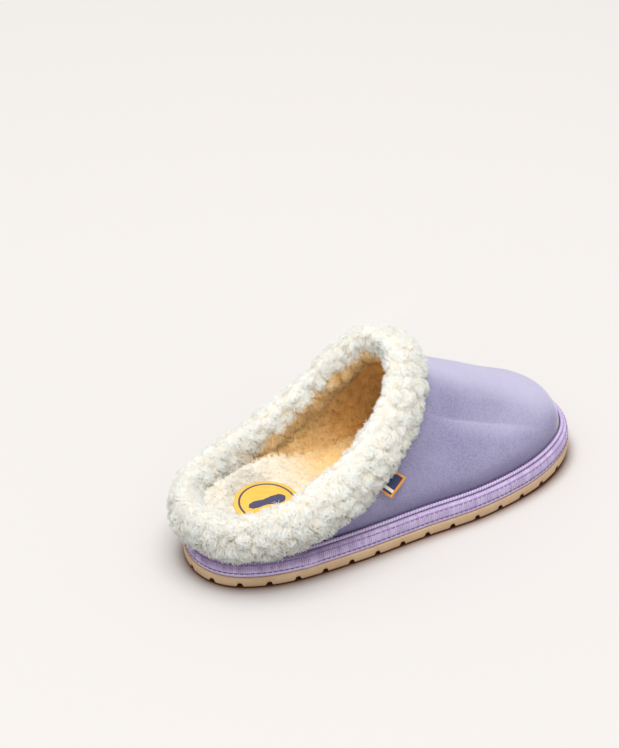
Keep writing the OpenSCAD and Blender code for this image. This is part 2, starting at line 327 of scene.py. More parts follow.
def turn_outward(obj):
    """Makes the faces of a closed mesh face outward."""
    work = bmesh.new()
    work.from_mesh(obj.data)
    bmesh.ops.recalc_face_normals(work, faces=work.faces)
    work.to_mesh(obj.data)
    work.free()
    return obj


def tone(obj, name, values):
    """Gives each point of an object a number that its material reads."""
    attribute = obj.data.attributes.new(name, "FLOAT", "POINT")
    attribute.data.foreach_set("value", np.asarray(values, np.float32).ravel())


def place(obj, slot_name, *nodes):
    """Fixes a piece to the slipper and hides the CAD nodes that it stands for."""
    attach(obj, "slipper")
    if nodes:
        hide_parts(*nodes)


# ---------- pile ----------

# Pile of a part: how many strands, their length and width, the size and seed of its clumps, the
# height of the lump under each, how far the strands lean and droop, and the seed of their draws.
Pile = namedtuple("Pile", "count length width clump seed lump lean droop draws")
roll_pile = Pile(66000, 3.6 * mm, 0.4 * mm, 7 * mm, 21, 1.7 * mm, 0.6, 0.35, 7)
bed_pile = Pile(18000, 3.2 * mm, 0.38 * mm, 4.6 * mm, 41, 1.5 * mm, 1.0, 0, 9)
wall_pile = Pile(30000, 4 * mm, 0.46 * mm, 5 * mm, 51, 0.9 * mm, 0.6, 0.35, 13)

root_depth = 0.5 * mm
gathering = 0.35  # share of the way to its clump's middle that a tip is drawn
curl = 0.75 * mm
coat_depth = 0.8 * mm  # of the backing under the roots
strands_a_piece = 9000
strand_stops = np.array([0, 0.3, 0.6, 0.84, 1])
strand_taper = np.array([1, 1, 0.9, 0.6, 0])


def clumps(points, size, seed):
    """Distance to the nearest clump centre, that centre, and three numbers for the clump."""
    home = np.floor(points / size).astype(np.int64)
    best = np.full(len(points), np.inf)
    centre = np.zeros_like(points)
    chosen = home.copy()
    for step in np.ndindex(3, 3, 3):
        cell = home + np.array(step) - 1
        spot = (cell + hashed(cell, seed, 3)) * size
        away = np.linalg.norm(points - spot, axis=1)
        nearer = away < best
        best[nearer] = away[nearer]
        centre[nearer] = spot[nearer]
        chosen[nearer] = cell[nearer]
    return best, centre, hashed(chosen, seed + 7, 3) * 2 - 1


def scatter(grid, normals, count, rng, weight=None):
    """count points spread evenly by area over a grid, with their normals and their places, 0 to 1,
    along its second index."""
    a, b = grid[:-1, :-1], grid[1:, :-1]
    c, d = grid[1:, 1:], grid[:-1, 1:]
    area = np.linalg.norm(np.cross(c - a, d - b), axis=-1) / 2
    if weight is not None:
        area = area * weight[:-1, :-1]
    chance = area.ravel() / area.sum()
    cell = np.sort(rng.choice(chance.size, count, p=chance))
    i, j = np.unravel_index(cell, area.shape)
    s, t = rng.random((2, count, 1))
    def mixed(g):
        near = g[i, j] * (1 - s) + g[i + 1, j] * s
        far = g[i, j + 1] * (1 - s) + g[i + 1, j + 1] * s
        return near * (1 - t) + far * t
    return mixed(grid), unit(mixed(normals)), (j + t[:, 0]) / (grid.shape[1] - 1)


def tangent_part(v, normal):
    return v - normal * np.sum(v * normal, -1, keepdims=True)


def strand_lines(pile, roots, normals, centre, mood, rng):
    """Points along each strand, with the way it aims and a direction across it."""
    n = len(roots)
    own = rng.normal(size=(n, 3))
    sweep = tangent_part(mood * pile.lean + own * 0.35, normals)
    aim = unit(normals * 0.9 + sweep + np.array([0, 0, -pile.droop]))
    reach = pile.length * (1 + 0.15 * mood[:, :1]) * rng.uniform(0.6, 1.4, (n, 1))
    inward = tangent_part(centre - roots, normals) * gathering
    side = unit(np.cross(aim, unit(own)))
    other = np.cross(aim, side)
    phase = mood[:, 1:2] * np.pi + rng.normal(0, 0.8, (n, 1))
    turns = (0.8 + 0.4 * mood[:, 2:3]) * np.where(mood[:, :1] > 0, 1, -1)
    limp = rng.uniform(0.1, 0.45, (n, 1))
    line = []
    for t in strand_stops:
        a = phase + turns * 2 * np.pi * t
        swirl = (side * np.cos(a) + other * np.sin(a)) * curl * (0.2 + t)
        flop = -normals * reach * limp * t**2
        line.append(roots - normals * root_depth + aim * reach * t + flop + inward * t**1.3 + swirl)
    return np.stack(line, 1), aim, side


def strand_faces():
    """Triangles of one strand: a closed foot, three-sided rings and a pointed tip."""
    rings = len(strand_stops) - 1
    tip = rings * 3
    faces = [(0, 2, 1)]
    for k in range(rings - 1):
        for c in range(3):
            a, b = k * 3 + c, k * 3 + (c + 1) % 3
            faces += [(a, b, b + 3), (a, b + 3, a + 3)]
    faces += [(tip - 3 + c, tip - 3 + (c + 1) % 3, tip) for c in range(3)]
    return np.array(faces)


def fibres(name, pile, roots, normals, painted_bounce, material, rng):
    """Curly pile: tapering three-sided strands that coil and gather into the tufts of their clumps."""
    away, centre, mood = clumps(roots, pile.clump, pile.seed)
    n = len(roots)
    line, aim, side = strand_lines(pile, roots, normals, centre, mood, rng)
    along = unit(np.gradient(line, axis=1))
    ring_a = unit(np.cross(along, side[:, None]))[:, :-1, None]
    ring_b = np.cross(along[:, :-1], ring_a[:, :, 0])[:, :, None]
    corners = np.radians([0, 120, 240])[:, None]
    around = ring_a * np.cos(corners) + ring_b * np.sin(corners)
    thick = pile.width * rng.uniform(0.7, 1.3, (n, 1)) * strand_taper
    tube = line[:, :-1, None] + around * thick[:, :-1, None, None] / 2
    verts = np.concatenate([tube.reshape(n, -1, 3), line[:, -1:]], 1)
    m = verts.shape[1]
    radial = np.concatenate([around.reshape(n, -1, 3), along[:, -1:]], 1)
    shade = unit(radial * 0.12 + normals[:, None] + aim[:, None] * 0.15 + np.array([0, 0, 0.35]))
    # painted shade: height, and so the pile's colour, falls towards each root and each tuft's edge
    painted_tuft_shading = 1.1 - 0.45 * np.clip(away / pile.clump, 0, 1)
    height = np.concatenate([np.repeat(strand_stops[:-1], 3), [1]]) * painted_tuft_shading[:, None]
    parts = int(np.ceil(n / strands_a_piece))
    for k, ids in enumerate(np.array_split(np.arange(n), parts)):
        faces = (strand_faces()[None] + (np.arange(len(ids)) * m)[:, None, None]).reshape(-1, 3)
        obj = make_mesh(f"{name}_{k + 1}", verts[ids], faces, material)
        tone(obj, "height", height[ids])
        tone(obj, "mood", np.repeat(mood[ids, 0] * 0.5 + rng.uniform(-0.5, 0.5, len(ids)), m))
        tone(obj, "painted_bounce", np.repeat(painted_bounce[ids], m))
        obj.data.normals_split_custom_set_from_vertices(shade[ids].reshape(-1, 3))
        place(obj, "fleece_cream")


def grow(name, pile, ground, aims, painted_bounce_at, material, weight=None, keep=None):
    """Scatters pile over its ground. painted_bounce_at gives the painted bounce light and shade at roots
    and their places across, and keep says which roots stay."""
    rng = np.random.default_rng(pile.draws)
    roots, aims, places = scatter(ground, aims, pile.count, rng, weight)
    if keep is not None:
        kept = keep(roots)
        roots, aims, places = roots[kept], aims[kept], places[kept]
    fibres(name, pile, roots, aims, painted_bounce_at(roots, places), material, rng)


def lumpy(grid, normals, closed, pile):
    """Ground of the pile: rounded lumps, one for each tuft, with the way the pile stands on them
    and the backing sunk below them."""
    away, _, mood = clumps(grid.reshape(-1, 3), pile.clump, pile.seed)
    push = pile.lump * (0.6 - np.clip(away / pile.clump, 0, 1) ** 2 + 0.3 * mood[:, 2])
    ground = grid + normals * push.reshape(grid.shape[:-1] + (1,))
    tilted = grid_normals(ground, closed)
    tilted = tilted * np.sign(np.sum(tilted * normals, -1, keepdims=True))
    return ground, unit(tilted + 0.4 * normals), ground - normals * coat_depth


def backing_tones(obj, painted_bounce, height):
    """What the fleece material reads on the cloth under the pile; its low height paints it with the
    pile's beige root shade.
    """
    tone(obj, "painted_bounce", painted_bounce)
    tone(obj, "height", np.full(np.size(painted_bounce), height))
    tone(obj, "mood", np.zeros(np.size(painted_bounce)))


# ---------- materials ----------

def set_all(thing, **values):
    for key, value in values.items():
        setattr(thing, key, value)


class Paint:
    """A material and short calls to build its nodes."""

    def __init__(self, name, roughness):
        self.material = bpy.data.materials.new(name)
        self.material.use_nodes = True
        self.nodes = self.material.node_tree.nodes
        self.links = self.material.node_tree.links
        self.shader = self.nodes["Principled BSDF"]
        self.shader.inputs["Roughness"].default_value = roughness
        self.place = self.nodes.new("ShaderNodeTexCoord").outputs["Object"]

    def feed(self, socket, value):
        if isinstance(value, bpy.types.NodeSocket):
            self.links.new(value, socket)
        elif socket.type == "RGBA":
            socket.default_value = (*value, 1)
        else:
            socket.default_value = value

    def node(self, kind, output=0, settings=None, **inputs):
        """One output of a new node. Its inputs go by name, or as _ and a number."""
        node = self.nodes.new(kind)
        set_all(node, **(settings or {}))
        for key, value in inputs.items():
            self.feed(node.inputs[int(key[1:])] if key[1:].isdigit() else node.inputs[key], value)
        return node.outputs[output]

    def noise(self, size, detail=2.0, rough=0.5):
        """Noise from 0 to 1 with features about size across."""
        return self.node("ShaderNodeTexNoise", Vector=self.place, Scale=1 / size,
                         Detail=detail, Roughness=rough)

    def ribs(self, direction, scale, distortion):
        """Fine parallel ribs from 0 to 1, as of a weave."""
        return self.node("ShaderNodeTexWave", 1, {"bands_direction": direction},
                         Vector=self.place, Scale=scale, Distortion=distortion, Detail=1.0)

    def maths(self, operation, a, b):
        return self.node("ShaderNodeMath", settings={"operation": operation}, _0=a, _1=b)

    def spread(self, value, low_in, high_in, low_out=0.0, high_out=1.0):
        return self.node("ShaderNodeMapRange", settings={"interpolation_type": "SMOOTHSTEP"}, Value=value,
                         _1=low_in, _2=high_in, _3=low_out, _4=high_out)

    def mix(self, share, a, b):
        node = self.nodes.new("ShaderNodeMix")
        node.data_type = "RGBA"
        self.feed(node.inputs[0], share)
        self.feed(node.inputs[6], a)
        self.feed(node.inputs[7], b)
        return node.outputs[2]

    def attribute(self, name):
        return self.node("ShaderNodeAttribute", 2, {"attribute_name": name})

    def colour(self, value):
        self.feed(self.shader.inputs["Base Color"], value)

    def bump(self, value, depth):
        bump = self.nodes.new("ShaderNodeBump")
        bump.inputs["Distance"].default_value = depth
        self.links.new(value, bump.inputs["Height"])
        chained = self.shader.inputs["Normal"].links
        if chained:
            self.links.new(chained[0].from_socket, bump.inputs["Normal"])
        self.links.new(bump.outputs[0], self.shader.inputs["Normal"])

    def sheen(self, weight, roughness, tint):
        self.shader.inputs["Sheen Weight"].default_value = weight
        self.shader.inputs["Sheen Roughness"].default_value = roughness
        self.shader.inputs["Sheen Tint"].default_value = (*tint, 1)


def rgb(*srgb):
    """Linear colour from sRGB numbers of 0 to 255."""
    c = np.array(srgb) / 255
    return tuple(float(x) for x in np.where(c <= 0.04045, c / 12.92, ((c + 0.055) / 1.055) ** 2.4))


def fleece_paint(name, depth, passing):
    """Pile: cream at the tips, with beige painted shade at the roots and between tufts, then golden and
    amber painted bounce light and shade further in the shoe.
    depth darkens the whole pile, for the backing it grows from, and passing is the share of
    the light that goes on through a strand."""
    p = Paint(name, 0.9)
    def tint(*srgb):
        return tuple(c * depth for c in rgb(*srgb))
    # root_shade_to_tip: from the beige painted shade at the roots and between tufts to the tips' colour
    root_shade_to_tip = p.spread(p.attribute("height"), 0.05, 0.7)
    patchy = p.spread(p.noise(7 * mm, 3, 0.6), 0.48, 0.72, 0.0, 0.6)
    streak = p.spread(p.attribute("mood"), 0.1, 1.0, 0.0, 0.45)
    cream = p.mix(root_shade_to_tip, tint(226, 216, 197), tint(231, 234, 230))
    cream = p.mix(streak, p.mix(patchy, cream, tint(228, 217, 197)), tint(228, 229, 221))
    golden = p.mix(root_shade_to_tip, tint(238, 188, 116), tint(250, 214, 150))
    golden = p.mix(p.maths("MAXIMUM", patchy, streak), golden, tint(228, 174, 104))
    amber = p.mix(root_shade_to_tip, tint(234, 162, 78), tint(252, 194, 108))
    amber = p.mix(patchy, amber, tint(214, 140, 62))
    # painted_bounce paints bounce light and shade into the pile inside the shoe: golden at a half, amber
    # at one
    painted_bounce = p.attribute("painted_bounce")
    near = p.mix(p.spread(painted_bounce, 0.0, 0.5), cream, golden)
    p.colour(p.mix(p.spread(painted_bounce, 0.5, 1.0), near, amber))
    p.shader.inputs["Specular IOR Level"].default_value = 0.2
    p.sheen(0.4, 0.6, (1, 0.99, 0.95))
    shadowed = p.maths("MULTIPLY", p.node("ShaderNodeLightPath", output=1), passing)
    clear = p.node("ShaderNodeBsdfTransparent")
    output = p.nodes["Material Output"].inputs["Surface"]
    p.links.new(p.node("ShaderNodeMixShader", _0=shadowed, _1=p.shader.outputs[0], _2=clear), output)
    return p.material


def suede_paint(name):
    """Brushed suede, with a painted highlight where it faces the painted light and painted shade near its
    seam with the sole.
    """
    p = Paint(name, 0.95)
    broad = p.spread(p.noise(22 * mm, 3, 0.55), 0.3, 0.7)
    nap = p.spread(p.noise(3.5 * mm, 4, 0.65), 0.3, 0.72)
    fine = p.noise(1.1 * mm, 3, 0.8)
    base = p.mix(broad, rgb(131, 127, 159), rgb(145, 141, 171))
    brushed = p.mix(p.maths("MULTIPLY", nap, 0.4), base, rgb(122, 116, 151))
    napped = p.mix(p.spread(fine, 0.35, 0.65, 0.0, 0.6), brushed, rgb(165, 161, 190))
    # painted highlight: paler where pale marks faces turned to the painted light
    pale = p.mix(p.attribute("pale"), napped, rgb(204, 200, 222))
    # painted shade: darker where seam marks the suede near the sole
    p.colour(p.mix(p.attribute("seam"), pale, rgb(104, 94, 130)))
    p.bump(p.noise(0.9 * mm, 4, 0.7), 0.12 * mm)
    p.bump(fine, 0.1 * mm)
    p.sheen(1.0, 0.35, rgb(232, 228, 245))
    p.shader.inputs["Specular IOR Level"].default_value = 0.15
    return p.material


def tape_paint(name):
    """Ribbed tape, darkened where its rib attribute paints shade, as in the valleys between its ribs."""
    p = Paint(name, 0.75)
    base = p.mix(p.spread(p.noise(6 * mm, 3, 0.6), 0.3, 0.7), rgb(192, 172, 212), rgb(208, 193, 227))
    # painted shade: rib mixes in the darker colour
    ribs = p.mix(p.maths("MULTIPLY", p.attribute("rib"), 0.6), base, rgb(116, 88, 136))
    weft = p.noise(0.35 * mm, 2, 0.6)
    p.colour(p.mix(p.spread(weft, 0.35, 0.75, 0.0, 0.5), ribs, rgb(214, 202, 230)))
    p.bump(weft, 0.1 * mm)
    p.sheen(0.25, 0.5, rgb(225, 214, 240))
    return p.material


def thread_paint(name, light, dark):
    p = Paint(name, 0.6)
    ply = p.noise(0.45 * mm, 2, 0.6)
    p.colour(p.mix(p.spread(ply, 0.3, 0.7), dark, light))
    p.bump(ply, 0.08 * mm)
    p.sheen(0.3, 0.4, light)
    return p.material


def rubber_paint(name):
    p = Paint(name, 0.62)
    cloud = p.noise(14 * mm, 4, 0.6)
    grain = p.noise(0.6 * mm, 3, 0.6)
    base = p.mix(p.spread(cloud, 0.3, 0.7), rgb(198, 166, 130), rgb(208, 178, 143))
    scuffed = p.mix(p.spread(p.noise(2.5 * mm, 5, 0.75), 0.6, 0.8, 0.0, 0.35), base, rgb(166, 138, 106))
    # groove paints brown shade into the notches and the tread's grooves, and a contact shadow along the
    # lower edge
    p.colour(p.mix(p.attribute("groove"), scuffed, rgb(112, 72, 40)))
    p.bump(grain, 0.05 * mm)
    p.bump(cloud, 0.15 * mm)
    return p.material


def foam_paint(name, light, dark):
    p = Paint(name, 0.9)
    cells = p.node("ShaderNodeTexVoronoi", Vector=p.place, Scale=1 / (0.8 * mm))
    p.colour(p.mix(p.spread(cells, 0.0, 0.6), dark, light))
    p.bump(cells, 0.15 * mm)
    return p.material


def patch_paint(name):
    """Printed twill: yellow with a fine diagonal rib and slight wear."""
    p = Paint(name, 0.7)
    twill = p.ribs("DIAGONAL", 520, 0.6)
    soft = p.spread(p.noise(5 * mm, 3, 0.6), 0.3, 0.75)
    base = p.mix(soft, rgb(226, 178, 70), rgb(231, 188, 86))
    p.colour(p.mix(p.maths("MULTIPLY", twill, 0.3), base, rgb(212, 164, 58)))
    p.bump(twill, 0.06 * mm)
    p.sheen(0.2, 0.5, rgb(255, 235, 170))
    return p.material


def ink_paint(name, ink, faded):
    p = Paint(name, 0.65)
    grain = p.noise(0.5 * mm, 3, 0.65)
    p.colour(p.mix(p.spread(grain, 0.45, 0.8, 0.0, 0.6), ink, faded))
    p.bump(grain, 0.04 * mm)
    return p.material


def label_paint(name):
    """Woven ribbon: navy field, orange border and a pale stripe, with cross ribs."""
    p = Paint(name, 0.6)
    weave = p.ribs("Z", 900, 0.3)
    valley = p.maths("MULTIPLY", weave, 0.5)
    navy = p.mix(valley, rgb(26, 38, 78), rgb(52, 66, 112))
    orange = p.mix(valley, rgb(232, 150, 44), rgb(200, 118, 30))
    cream = p.mix(valley, rgb(240, 232, 214), rgb(206, 196, 176))
    field = p.mix(p.spread(p.attribute("stripe"), 0.45, 0.55), navy, cream)
    p.colour(p.mix(p.spread(p.attribute("edge"), 0.45, 0.55), field, orange))
    p.bump(weave, 0.08 * mm)
    p.sheen(0.3, 0.4, (1, 1, 1))
    return p.material


def floor_paint(name):
    """Pale studio floor with a painted brown contact shadow where something nearly touches it."""
    p = Paint(name, 0.9)
    pale = p.mix(p.noise(350 * mm), (0.61, 0.587, 0.571), (0.615, 0.592, 0.576))
    open_sky = p.node("ShaderNodeAmbientOcclusion", 1, {"samples": 12}, Distance=14 * mm)
    # painted contact shadow: brown where open_sky is low
    p.colour(p.mix(p.spread(open_sky, 0.3, 0.9), rgb(112, 70, 42), pale))
    p.shader.inputs["Specular IOR Level"].default_value = 0.1
    return p.material


# ---------- sole unit ----------

def triangles(quads):
    return np.concatenate([quads[:, [0, 1, 2]], quads[:, [0, 2, 3]]])


def cap(loop, first, start, columns):
    """Points and triangles that close a loop with rows across it. first and start are the indices
    of the loop's first point and of the first new one."""
    n = len(loop)
    half = n // 2
    rows = np.arange(1, half)
    share = np.arange(1, columns) / columns
    left, right = loop[rows], loop[n - rows]
    inner = left[:, None] * (1 - share[:, None]) + right[:, None] * share[:, None]
    ids = start + np.arange(inner.shape[0] * (columns - 1)).reshape(inner.shape[0], -1)
    table = np.concatenate([(first + rows)[:, None], ids, (first + n - rows)[:, None]], 1)
    a, b = table[:-1, :-1].ravel(), table[1:, :-1].ravel()
    c, d = table[1:, 1:].ravel(), table[:-1, 1:].ravel()
    heel = [(first, p, q) for p, q in zip(table[0, :-1], table[0, 1:])]
    toe = [(first + half, q, p) for p, q in zip(table[-1, :-1], table[-1, 1:])]
    faces = np.concatenate([triangles(np.stack([a, b, c, d], -1)), heel, toe])
    return inner.reshape(-1, 3), faces


def closed_solid(name, grid, top_columns, bottom_columns, material):
    """Solid from loops stacked from the middle of one side to the middle of the other."""
    n = grid.shape[1]
    verts = grid.reshape(-1, 3)
    faces = triangles(grid_quads(grid.shape[0], n, False, True))
    top, top_faces = cap(grid[0], 0, len(verts), top_columns)
    bottom, bottom_faces = cap(grid[-1], (grid.shape[0] - 1) * n, len(verts) + len(top), bottom_columns)
    verts = np.concatenate([verts, top, bottom])
    faces = np.concatenate([faces[:, ::-1], top_faces, bottom_faces[:, ::-1]])
    return make_mesh(name, verts, faces, material)


# Edge of the outsole, and the notches cut into its lower edge.
edge_top = 0.7 * mm  # radius of its upper corner
edge_bottom = 2.6 * mm  # and of its lower one
notch_pitch = 17 * mm
notch_height = 3.9 * mm
notch_half = 2.6 * mm  # half width at the ground
notch_slope = 1.5 * mm  # width of each sloped side

# Cross grooves of the tread, and how far they reach to each side along the sole.
groove_pitch = 9.5 * mm
groove_half = 1.5 * mm
groove_depth = 1.3 * mm
GROOVE_Y = np.array([-118, -95, 0, 55, 95, 120]) * mm
GROOVE_REACH = np.array([15, 25, 30, 36, 28, 12]) * mm


def notch_lift(distance):
    """How far the tread's edge is cut up at a distance round the sole."""
    pitch = girth / round(girth / notch_pitch)
    off = np.abs((distance - 0.45 * pitch) % pitch - pitch / 2)
    return notch_height * np.clip((notch_half - off) / notch_slope, 0, 1)


def outsole_section(top):
    """Inset and height, from under the wrap down the edge to the middle of the tread."""
    bend = np.radians([0, 22, 45, 68, 90])
    turn = np.linspace(0, np.pi / 2, 10)
    section = [(9 * mm, top), (2 * mm, top)]
    section += [(edge_top * (1 - np.sin(a)), top - edge_top * (1 - np.cos(a))) for a in bend]
    section += [(-0.12 * mm, top * 0.7), (-0.1 * mm, top * 0.5)]
    section += [(edge_bottom * (1 - np.cos(a)), edge_bottom * (1 - np.sin(a))) for a in turn]
    return section + [(k * mm, 0) for k in (3.4, 4.4, 5.5, 7, 8, 8.6, 9.2, 10.5, 12)]


def outsole():
    """Moulded rubber sole with a notched edge and a grooved tread."""
    n = 1800
    u = even_u(n)
    section = outsole_section(outsole_top)
    lift = notch_lift(even_distance(n))
    loops, dark = [], []
    for inset, z in section:
        cut = (z < outsole_top * 0.6) * (1 - smooth(inset, 8 * mm, 9.2 * mm))
        loops.append(rim(u, inset, np.maximum(z, lift * cut)))
        # painted contact shadow along the lower edge, and painted shade inside the notches
        painted_contact_shadow = 0.6 * (1 - smooth(z, 0.3 * mm, 2.2 * mm))
        dark.append(smooth(lift * cut - z, 0.2 * mm, 1.2 * mm) + painted_contact_shadow)
    obj = closed_solid("outsole_rubber", np.array(loops), 4, 14, rubber)  # columns above and below
    co = np.array([v.co for v in obj.data.vertices])
    dark = np.concatenate(dark)
    shade = np.pad(dark, (0, len(co) - len(dark)))
    tread = (np.arange(len(co)) >= len(dark)) & (co[:, 2] < outsole_top * 0.5 + spring(co[:, 1]))
    off = np.abs(co[:, 1] % groove_pitch - groove_pitch / 2)
    reach = np.interp(co[:, 1], GROOVE_Y, GROOVE_REACH)
    inside = smooth(reach - np.abs(co[:, 0] - 1 * mm), 0, 1 * mm)
    groove = tread * np.clip((groove_half - off) / (0.6 * mm), 0, 1) * inside
    co[:, 2] += groove * groove_depth
    obj.data.vertices.foreach_set("co", co.ravel())
    obj.data.update()
    # groove: painted shade and contact shadow, with the tread's grooves
    tone(obj, "groove", np.clip(shade + groove, 0, 1))
    place(obj, "rubber_tan", "outsole")


# Section of the wrap: inset from the sole's outline and height over its lower edge.
WRAP_FACE = np.array([
    (1.2, 0), (0.62, 1.1), (0.45, 2.4), (0.5, 4), (0.6, 5.4), (0.9, 7), (1.3, 8.2), (1.9, 9.2), (3.2, 10),
]) * mm
WRAP_BACK = np.array([
    (4.3, 10.2), (4.3, 9.4), (2.9, 8.9), (2.1, 7), (1.6, 4), (1.6, 0.85), (10.5, 0.85), (10.5, 0),
]) * mm
lower_row = 2.9 * mm
upper_row = 8.3 * mm
stitch_pitch = 3.3 * mm
rib_pitch = 1.25 * mm
rib_height = 0.17 * mm
tape_join = 0.115  # where the tape's ends overlap, as a share of the way round


def wrap_inset(z):
    return np.interp(z, WRAP_FACE[:, 1], WRAP_FACE[:, 0])


def sole_wrap():
    """Ribbed tape round the sole, drawn in along its two rows of stitches."""
    n = 2600
    u = even_u(n)
    distance = even_distance(n)
    height = np.concatenate([np.linspace(0, 2.4, 5), np.linspace(2.6, 3.2, 5), np.linspace(3.6, 7.8, 8),
                             np.linspace(8.0, 8.6, 4), [9.0, 9.4, 9.8, 10]]) * mm
    wave = 0.5 + 0.5 * np.cos(2 * np.pi * round(girth / rib_pitch) * distance / girth)
    wander = value_noise(distance[:, None] * [1, 0, 0], 2.2 * mm, 5)
    dip = 0.5 + 0.5 * np.cos(2 * np.pi * distance / stitch_pitch)
    # painted shadow of the fleece roll on the tape's upper part round the heel
    fleece_shadow_at_heel = 1 - smooth(outline_at(u)[:, 1], -85 * mm, -15 * mm)
    past_join = (distance - tape_join * girth) % girth
    overlap = 0.4 * mm * (1 - smooth(past_join, 5 * mm, 14 * mm))
    loops, valley = [], []
    for z in height:
        ribbed = smooth(z, 3.1 * mm, 3.6 * mm) * (1 - 0.6 * smooth(z, 9.2 * mm, 10 * mm))
        sewn = 0.28 * mm * np.exp(-((z - lower_row) / (0.3 * mm)) ** 2)
        sewn += 0.22 * mm * np.exp(-((z - upper_row) / (0.35 * mm)) ** 2)
        push = ribbed * (rib_height * wave + 0.12 * mm * wander) - sewn * (0.6 + 0.4 * dip)
        loops.append(rim(u, wrap_inset(z) - push - overlap, wrap_z + z))
        # painted shade along the tape's lower and upper edges, under the roll at the heel and in the
        # stitches' dents; valley adds painted shade between the ribs
        painted_shade = 1 - smooth(z, 0.2 * mm, 0.7 * mm) + smooth(z, 9.6 * mm, 10 * mm)
        painted_shade += 0.95 * fleece_shadow_at_heel * smooth(z, 3.5 * mm, 7 * mm) + 2.5 * sewn / mm
        valley.append(ribbed * np.clip(1 - wave + 0.5 * wander, 0, 1) + painted_shade)
    for inset, z in WRAP_BACK:
        loops.append(rim(u, inset, wrap_z + z))
        # painted shade: the lip in the groove and the hidden back get the darkest colour
        valley.append(np.full(n, 1.6))
    obj = ring_mesh("sole_wrap_tape", np.array(loops).transpose(1, 0, 2), tape, flip=True)
    tone(obj, "rib", np.array(valley).T)
    place(obj, "tape_lilac", "sole_wrap")


def stitch_row(name, z, material, thickness, node):
    """Single stitches that sink into the wrap at both ends."""
    share = np.linspace(-1, 1, 9)
    u = u_at(stitch_middles(stitch_pitch) + share * stitch_pitch * 0.42)
    proud = thickness * (0.75 - 1.5 * np.abs(share) ** 4)
    path = rim(u, wrap_inset(z) - proud, wrap_z + z)
    tubes(name, path, outward_at(u), thickness * (1 - 0.45 * np.abs(share) ** 6), material, node)


def stitch_middles(pitch):
    count = round(girth / pitch)
    return ((np.arange(count) + 0.5) / count * girth)[:, None]


def groove_stitches():
    """Row of short stitches in the groove between the rolled edge and the suede."""
    share = np.linspace(-1, 1, 7)
    u = u_at(stitch_middles(2.6 * mm) + share * 0.95 * mm)
    path = rim(u, 5.7 * mm, feather_z + 0.9 * mm + 0.3 * mm * (1 - share**2))
    tubes("groove_stitches", path, outward_at(u), 0.34 * mm * (1 - 0.4 * share**6), violet)


def tubes(name, path, outward, radius, material, *nodes):
    """A row of short round stitches along paths, each closed at both ends."""
    corners = np.arange(8) / 8 * 2 * np.pi
    ring = outward[:, :, None] * np.cos(corners)[:, None] + np.outer(np.sin(corners), [0, 0, 1])
    tube = path[:, :, None] + ring * radius[None, :, None, None]
    steps = tube.shape[1]
    n = steps * 8
    ends = [[0, 1, 2, 3], [0, 3, 4, 5], [0, 5, 6, 7]]
    tops = [[n - 8 + k for k in reversed(end)] for end in ends]
    local = np.concatenate([grid_quads(steps, 8, False, True)[:, ::-1], ends, tops])
    faces = (local[None] + (np.arange(len(tube)) * n)[:, None, None]).reshape(-1, 4)
    place(make_mesh(name, tube, faces, material), "thread_violet", *nodes)


def seam_cord():
    """Rolled edge between the sole's wrap and the suede, with the fine slant of its twist."""
    n, m = 2400, 20
    u = even_u(n)
    radius, slant_height, slant_pitch = 0.95 * mm, 0.12 * mm, 1.9 * mm
    middle = rim(u, 4.5 * mm, feather_z + 0.3 * mm)[:, None]
    a = np.arange(m) / m * 2 * np.pi
    twist = 2 * np.pi * round(girth / slant_pitch) * np.arange(n) / n
    wave = np.cos(twist[:, None] - a)
    direction = outward_at(u)[:, None] * np.cos(a)[:, None] + np.outer(np.sin(a), [0, 0, 1])
    grid = middle + direction * (radius + slant_height * wave)[..., None]
    obj = ring_mesh("seam_cord_rolled", grid, cord, flip=True)
    # painted shade in the grooves of the twist
    tone(obj, "rib", 0.5 - 0.5 * wave)
    place(obj, "cord_mauve", "seam_cord")


# ---------- upper ----------

instep_puff = 4 * mm
PAINTED_LIGHT_DIRECTION = [-0.2, 0.3, 0.93]  # direction of the painted light; faces turned towards it or away from it are painted paler


def suede_sheet(name, v, node):
    """Part of the upper between two ribs, with the slight dents of soft suede."""
    r = np.linspace(0, 1, 96)[None]
    face = rib(v[:, None], r)
    normals = grid_normals(face, False)
    edge = smooth(r[0], 0, 0.1) * (1 - smooth(r[0], 0.75, 0.95))
    dents = value_noise(face, 26 * mm, 3) * 0.3 * mm + value_noise(face, 9 * mm, 4) * 0.12 * mm
    instep = smooth(v, 0.36, 0.5) * (1 - smooth(v, 0.5, 0.64))
    puff = instep_puff * instep[:, None] * smooth(r, 0.4, 0.8) * (1 - smooth(r, 0.9, 1))
    outer = face + normals * (dents * edge + puff)[..., None]
    obj = sheet_mesh(name, outer, outer - normals * suede_t, suede)
    height = np.linalg.norm(face - face[:, :1], axis=-1)
    # painted shade: seam grows within 16 mm of the sole
    tone(obj, "seam", np.tile(0.55 * (1 - smooth(height, 0, 16 * mm)), (2, 1)))
    # painted highlight: faces along PAINTED_LIGHT_DIRECTION, either way, get a higher pale
    lit = np.abs(np.sum(normals * PAINTED_LIGHT_DIRECTION, -1))
    tone(obj, "pale", np.tile(0.5 * smooth(lit, 0.42, 0.85), (2, 1)))
    place(obj, "suede_lilac", node)


